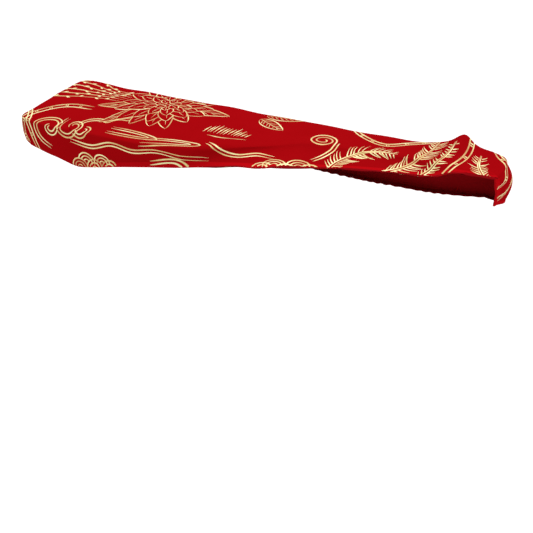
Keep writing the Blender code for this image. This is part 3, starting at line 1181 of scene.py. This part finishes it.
grid_to_cut = {k: number for number, origin in enumerate(from_points) for k in origin if k < outline_size}
for k, number in grid_to_cut.items():
    cut_places[number] = swollen[k]
hem_outer = np.array([grid_to_cut[k] for k in ids[:, -1]])
start_inner = len(cut_places)
start_lip = start_inner + len(inner)
lip_ring = start_lip + np.arange(STATIONS)
points = np.concatenate([cut_places, inner, lip_edge])
normals = np.concatenate([cut_normals, -outer_normals, -outward])
flat_all = np.concatenate([flat_places, flat_points, flat[:, -1]])
from_edge = np.concatenate([cut_from_edge, grid_from_edge, np.zeros(STATIONS)])
inner_quads = np.concatenate([strip_quads(inner_ids[:, k + 1], inner_ids[:, k])
                              for k in range(len(INNER_ROWS) - 1)]) + start_inner
rim_quads = np.concatenate([strip_quads(hem_outer, lip_ring),
                            strip_quads(lip_ring, ids[:, -1] + start_inner)])
face_list = [tuple(t) for t in cut_triangles]
face_list += [tuple(dict.fromkeys(q)) for q in inner_quads.tolist()]
face_list += [tuple(q) for q in rim_quads.tolist()]
used = np.unique(np.concatenate([np.array(f) for f in face_list]))
renumber = np.zeros(len(points), int)
renumber[used] = np.arange(len(used))
print("closed form:", len(used), "points,", len(face_list), "faces")

# %% [markdown]
# Blender makes the mesh from these lists of points and faces. The shading takes the facing of the smooth
# grid, because the thin triangles of the print would otherwise show as facets.

# %% the mesh
mesh = bpy.data.meshes.new("cover_cloth")
mesh.from_pydata((points[used] * MM).tolist(), [], [tuple(renumber[list(f)]) for f in face_list])
mesh.shade_smooth()
mesh.normals_split_custom_set_from_vertices(normals[used].tolist())
cover = bpy.data.objects.new("cover_cloth", mesh)
scene.collection.objects.link(cover)
print("cloth mesh:", len(mesh.vertices), "points,", len(mesh.polygons), "faces")

# %% [markdown]
# The finish needs to know three things at each place: where it lies on the flat cloth, for the rows of
# stitches, how far it is from the cut edge, for the painted highlight along the hem, and whether it is
# ink, and how bright. They go along as attributes of the mesh.

# %% attributes
ink_values = np.concatenate([cut_glow, np.zeros(len(face_list) - len(cut_glow))])
flat_used = np.concatenate([flat_all[used] * MM, np.zeros((len(used), 1))], 1)
for name, kind, domain, field, values in (
        ("flat_place", "FLOAT_VECTOR", "POINT", "vector", flat_used),
        ("from_edge", "FLOAT", "POINT", "value", from_edge[used] * MM),
        ("ink", "FLOAT", "FACE", "value", ink_values)):
    attribute = mesh.attributes.new(name, kind, domain)
    attribute.data.foreach_set(field, values.astype(np.float32).ravel())
print("attributes:", [attribute.name for attribute in mesh.attributes if not attribute.is_internal])

# %% [markdown]
# A finish of nodes has to be baked before another program can show it, and a bake needs a map without
# overlaps. This one lays the two halves of the printed face one over the other in a square, with the
# plain face, a little smaller, beside them. Blender could unwrap the mesh by itself, but it would cut the
# print into many small islands.

# %% bake map
BAKE_SIDE = 1262.0
BAKE_MARGIN = 6.0
INNER_SIZE = 0.68
RIM_WIDTH = 5.0
RIM_MIDDLE = (0, -80)

loop_vertex = np.zeros(len(mesh.loops), int)
mesh.loops.foreach_get("vertex_index", loop_vertex)
loop_face = np.repeat(np.arange(len(face_list)), [len(f) for f in face_list])
reverse_face = np.arange(len(face_list)) >= len(cut_triangles)
rim_face = np.arange(len(face_list)) >= len(cut_triangles) + len(inner_quads)
low_corner = flat_all.min(axis=0)
loop_flat = flat_all[used][loop_vertex]
face_middle = np.array([flat_all[list(f), 0].mean() for f in face_list])
right_half = face_middle[loop_face] > 0
shift_x = np.where(right_half, 0.0, -low_corner[0])
shift_y = np.where(right_half, BAKE_SIDE / 2, 0.0) - low_corner[1]
half_map = (loop_flat + np.stack([shift_x, shift_y], 1) + BAKE_MARGIN) / BAKE_SIDE
on_hem = np.isin(loop_vertex, renumber[np.concatenate([hem_outer, lip_ring])]) & rim_face[loop_face]
spread = np.where(on_hem[:, None], np.sign(loop_flat - RIM_MIDDLE) * RIM_WIDTH, 0)
inner_flat = (loop_flat + spread - low_corner + RIM_WIDTH) * INNER_SIZE + BAKE_MARGIN
inner_map = np.stack([1 - inner_flat[:, 1] / BAKE_SIDE, inner_flat[:, 0] / BAKE_SIDE], 1)
loop_map = np.where(reverse_face[loop_face][:, None], inner_map, half_map)
mesh.uv_layers.new(name="OFBake").data.foreach_set("uv", loop_map.astype(np.float32).ravel())
print("bake map spans", half_map.max(axis=0).round(3), inner_map.min(axis=0).round(3))

# %% [markdown]
# A finish is a chain of nodes. Written as plain sums it stays readable, so this small class wraps one
# output of a node, and each sum on it adds the node that does the sum.

# %% a way to write finishes
class Wire:
    """One output of a node in a material. Sums on it add Math nodes."""

    def __init__(self, tree, socket=None):
        self.tree, self.socket = tree, socket

    def node(self, kind, settings=None, sockets=None, output=0):
        """Add a node, set it up, fill its sockets with values or links, and give one of its outputs."""
        node = self.tree.nodes.new(kind)
        for name, value in (settings or {}).items():
            if name == "stops":
                ramp = node.color_ramp
                while len(ramp.elements) < len(value):
                    ramp.elements.new(1.0)
                for element, (place, colour) in zip(ramp.elements, value):
                    element.position, element.color = place, (*colour, 1)
            else:
                setattr(node, name, value)
        for name, value in (sockets or {}).items():
            if isinstance(value, Wire):
                self.tree.links.new(value.socket, node.inputs[name])
            else:
                node.inputs[name].default_value = value
        return Wire(self.tree, node.outputs[output])

    def sum(self, operation, a, b=0.0):
        """Add a Math node."""
        return self.node("ShaderNodeMath", {"operation": operation}, {0: a, 1: b})

    def __add__(self, other):
        return self.sum("ADD", self, other)

    def __mul__(self, other):
        return self.sum("MULTIPLY", self, other)

    def __sub__(self, other):
        return self.sum("SUBTRACT", self, other)

    def __rsub__(self, other):
        return self.sum("SUBTRACT", other, self)

    __radd__ = __add__
    __rmul__ = __mul__

    def other(self, output):
        """Give another output of the same node."""
        return Wire(self.tree, self.socket.node.outputs[output])

    def mix(self, a, b):
        """Mix two colours by this value."""
        return self.node("ShaderNodeMix", {"data_type": "RGBA"}, {0: self, 6: a, 7: b}, output=2)

    def noise(self, place, scale, detail):
        """Give cloudy noise at a place, with so many patches to the metre."""
        return self.node("ShaderNodeTexNoise", {}, {"Vector": place, "Scale": scale, "Detail": detail})

    def feed(self, shader, name):
        """Link this output to a socket of the shader, for what changes over the surface."""
        self.tree.links.new(self.socket, shader.inputs[name])


print("finishes can be written as sums")

# %% [markdown]
# Every finish starts from Blender's standard shader. What is the same all over the surface is set on the
# shader's own sockets, and only what changes from place to place is linked to nodes.

# %% a material to start from
def new_material(name, fixed):
    """Give a material with its shader, and a wire to start from. Fixed is what is the same all over."""
    material = bpy.data.materials.new(name)
    material.use_nodes = True
    shader = material.node_tree.nodes["Principled BSDF"]
    for socket, value in fixed.items():
        shader.inputs[socket].default_value = value
    return material, shader, Wire(material.node_tree)


print("materials start from the standard shader")

# %% [markdown]
# A plain knit is rows of small loops: wales run one way, about a millimetre apart, and courses the other
# way. Two sine waves on the flat cloth give that height. Close up they catch the light like real
# stitches, and a normal map from a picture would do no better.

# %% rows of stitches
WALE = 1.1 * MM
COURSE = 0.9 * MM
STITCH_DEPTH = 0.1 * MM
WALE_SHARE = 0.6


def knit(wire, place, strength):
    """Give the facing of a plain knit: wales one way, courses the other."""
    across_wales = wire.node("ShaderNodeSeparateXYZ", {}, {0: place})
    wales = wire.sum("SINE", across_wales * (2 * math.pi / WALE))
    courses = wire.sum("SINE", across_wales.other(1) * (2 * math.pi / COURSE))
    height = wales * WALE_SHARE + courses * (1 - WALE_SHARE)
    return wire.node("ShaderNodeBump", {},
                     {"Height": height, "Strength": strength, "Distance": STITCH_DEPTH})


print("stitches of", round(WALE / MM, 1), "x", round(COURSE / MM, 1), "mm")

# %% [markdown]
# The knit is dyed right through in a deep, slightly orange red. It is matt, so it has no gloss at all,
# only a trace of sheen for its soft nap. Slow patches and a fine grain keep the dye from looking flat.
# Along the hem the red is painted brighter, a painted highlight for the light that the turned edge of the
# cloth catches.

# %% dyed knit
DYE_DEEP = (0.236, 0.0009, 0.0018, 1)
DYE_LIGHT = (0.282, 0.0021, 0.0040, 1)
# painted highlight: a brighter red for the band along the hem
DYE_HEM_HIGHLIGHT = (0.345, 0.0021, 0.0042, 1)
HEM_HIGHLIGHT_WIDTH = 20 * MM
HEM_HIGHLIGHT_SOFT = 1.5 * MM
PATCHES = 14
PATCH_SHARE = 0.55
GRAINS = 620
GRAIN_SHARE = 0.75
TONE_LESS = 0.15
MATT = 0.84
MATT_GRAIN = 0.12
STITCHES_OUTSIDE = 0.3
SOFT_NAP = {"Specular IOR Level": 0.0, "Sheen Weight": 0.02, "Sheen Roughness": 0.5,
            "Sheen Tint": (0.9, 0.05, 0.06, 1)}


def knit_material(name, deep, light, hem_highlight_colour, bump):
    """Give the material of the knit, between a deep and a light tone of its dye, with a painted highlight
    along its hem.
    """
    material, shader, wire = new_material(name, SOFT_NAP)
    place = wire.node("ShaderNodeAttribute", {"attribute_name": "flat_place"}, output=1)
    patches = wire.noise(place, PATCHES, 3)
    grain = wire.noise(place, GRAINS, 1)
    edge = wire.node("ShaderNodeAttribute", {"attribute_name": "from_edge"}, output=2)
    # painted highlight: 1 near the hem and 0 further in, so the brighter red is painted along the hem
    hem_highlight = wire.node("ShaderNodeMath", {"operation": "MULTIPLY", "use_clamp": True},
                    {0: HEM_HIGHLIGHT_WIDTH - edge, 1: 1 / HEM_HIGHLIGHT_SOFT})
    dye = (patches * PATCH_SHARE + grain * GRAIN_SHARE - TONE_LESS).mix(deep, light)
    hem_highlight.mix(dye, hem_highlight_colour).feed(shader, "Base Color")
    (MATT + grain * MATT_GRAIN).feed(shader, "Roughness")
    knit(wire, place, bump).feed(shader, "Normal")
    return material


printed = knit_material("dyed_knit", DYE_DEEP, DYE_LIGHT, DYE_HEM_HIGHLIGHT, STITCHES_OUTSIDE)
print("dyed knit:", len(printed.node_tree.nodes), "nodes")

# %% [markdown]
# The gold is a flat ink with fine flakes, a little glossier than the cloth. Each stroke has its own glow,
# and it drifts between pale cream and brown along the way, as a worn screen print does.

# %% gold ink
GOLD = [(0.0, (0.31, 0.108, 0.030)), (0.36, (0.44, 0.228, 0.080)),
        (0.68, (0.595, 0.465, 0.182)), (1.0, (0.735, 0.710, 0.360))]
GLOW_SHARE = 0.9
DRIFTS = 34
DRIFT_SHARE = 0.8
FLAKES = 900
FLAKE_SHARE = 0.35
GOLD_LESS = 0.39
SATIN = 0.42
SATIN_FLAKES = 0.14
STITCHES_UNDER_INK = 0.2

gold, shader, wire = new_material("gold_ink", {"Metallic": 0.15, "Specular IOR Level": 0.3})
place = wire.node("ShaderNodeAttribute", {"attribute_name": "flat_place"}, output=1)
glow = wire.node("ShaderNodeAttribute", {"attribute_name": "ink"}, output=2)
drift = wire.noise(place, DRIFTS, 2)
flakes = wire.noise(place, FLAKES, 1)
tone = glow * GLOW_SHARE + drift * DRIFT_SHARE + flakes * FLAKE_SHARE - GOLD_LESS
wire.node("ShaderNodeValToRGB", {"stops": GOLD}, {0: tone}).feed(shader, "Base Color")
(SATIN + flakes * SATIN_FLAKES).feed(shader, "Roughness")
knit(wire, place, STITCHES_UNDER_INK).feed(shader, "Normal")
print("gold ink:", len(gold.node_tree.nodes), "nodes")

# %% [markdown]
# The inside shows below the drawn-back front. A print stays on its own face, so the reverse is plain
# knit with stitches that stand out more, and its red is painted darker, as painted shade for the inside
# of the cover. Every face of the mesh now gets one of the three finishes.

# %% plain reverse, and which face has which finish
# painted shade: the reverse gets a darker red than the printed face, for the shade inside the cover
REVERSE_SHADED_DEEP = (0.160, 0.0015, 0.0028, 1)
REVERSE_SHADED_LIGHT = (0.200, 0.0030, 0.0050, 1)
STITCHES_INSIDE = 0.5

plain = knit_material("plain_reverse_shaded", REVERSE_SHADED_DEEP, REVERSE_SHADED_LIGHT, REVERSE_SHADED_LIGHT, STITCHES_INSIDE)
for material in (printed, gold, plain):
    mesh.materials.append(material)
finish = np.where(ink_values > 0, 1, np.where(reverse_face, 2, 0))
mesh.polygons.foreach_set("material_index", finish.astype(np.int32))
mesh.update()
print("faces of dyed knit, gold and plain knit:", np.bincount(finish).tolist())

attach(cover, "root")
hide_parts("cover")

# %% [markdown]
# The picture has no mood light. A white room lights it from all round. One broad soft light comes from
# above the rear, which makes the top brighter than the front, and a weak one from the right lifts that
# end.

# %% light
ROOM_LIGHT = 1.0
SUNS = (("main light", 1.97, (0.0, 0.42, 0.91), 50.0), ("side light", 0.55, (0.95, -0.1, 0.3), 50.0))

world = bpy.data.worlds.new("white room")
scene.world = world
world.use_nodes = True
background = world.node_tree.nodes["Background"]
background.inputs["Color"].default_value = (1, 1, 1, 1)
background.inputs["Strength"].default_value = ROOM_LIGHT
for name, strength, comes_from, spread in SUNS:
    sun = bpy.data.objects.new(name, bpy.data.lights.new(name, "SUN"))
    sun.data.energy, sun.data.angle = strength, math.radians(spread)
    sun.rotation_euler = Vector(comes_from).to_track_quat("Z", "Y").to_euler()
    scene.collection.objects.link(sun)
print("lights:", [name for name, *_ in SUNS])

# %% [markdown]
# The floor is plain and pale. It lies well below, because the cover is held up, and it is so wide that
# its edge is never seen.

# %% floor
FLOOR_Z = -1.3
FLOOR_SIDE = 60.0
FLOOR_WHITE = (0.76, 0.76, 0.76, 1)

half = FLOOR_SIDE / 2
floor_corners = [(x, y, FLOOR_Z) for x, y in ((-half, -half), (half, -half), (half, half), (-half, half))]
floor_mesh = bpy.data.meshes.new("floor")
floor_mesh.from_pydata(floor_corners, [], [(0, 1, 2, 3)])
floor = bpy.data.objects.new("floor", floor_mesh)
matt_white = {"Base Color": FLOOR_WHITE, "Roughness": 0.9, "Specular IOR Level": 0.0}
floor_mesh.materials.append(new_material("floor_paint", matt_white)[0])
scene.collection.objects.link(floor)
print("floor at", FLOOR_Z, "m")

# %% [markdown]
# Last, the scene is brought up to date.

bpy.context.view_layer.update()
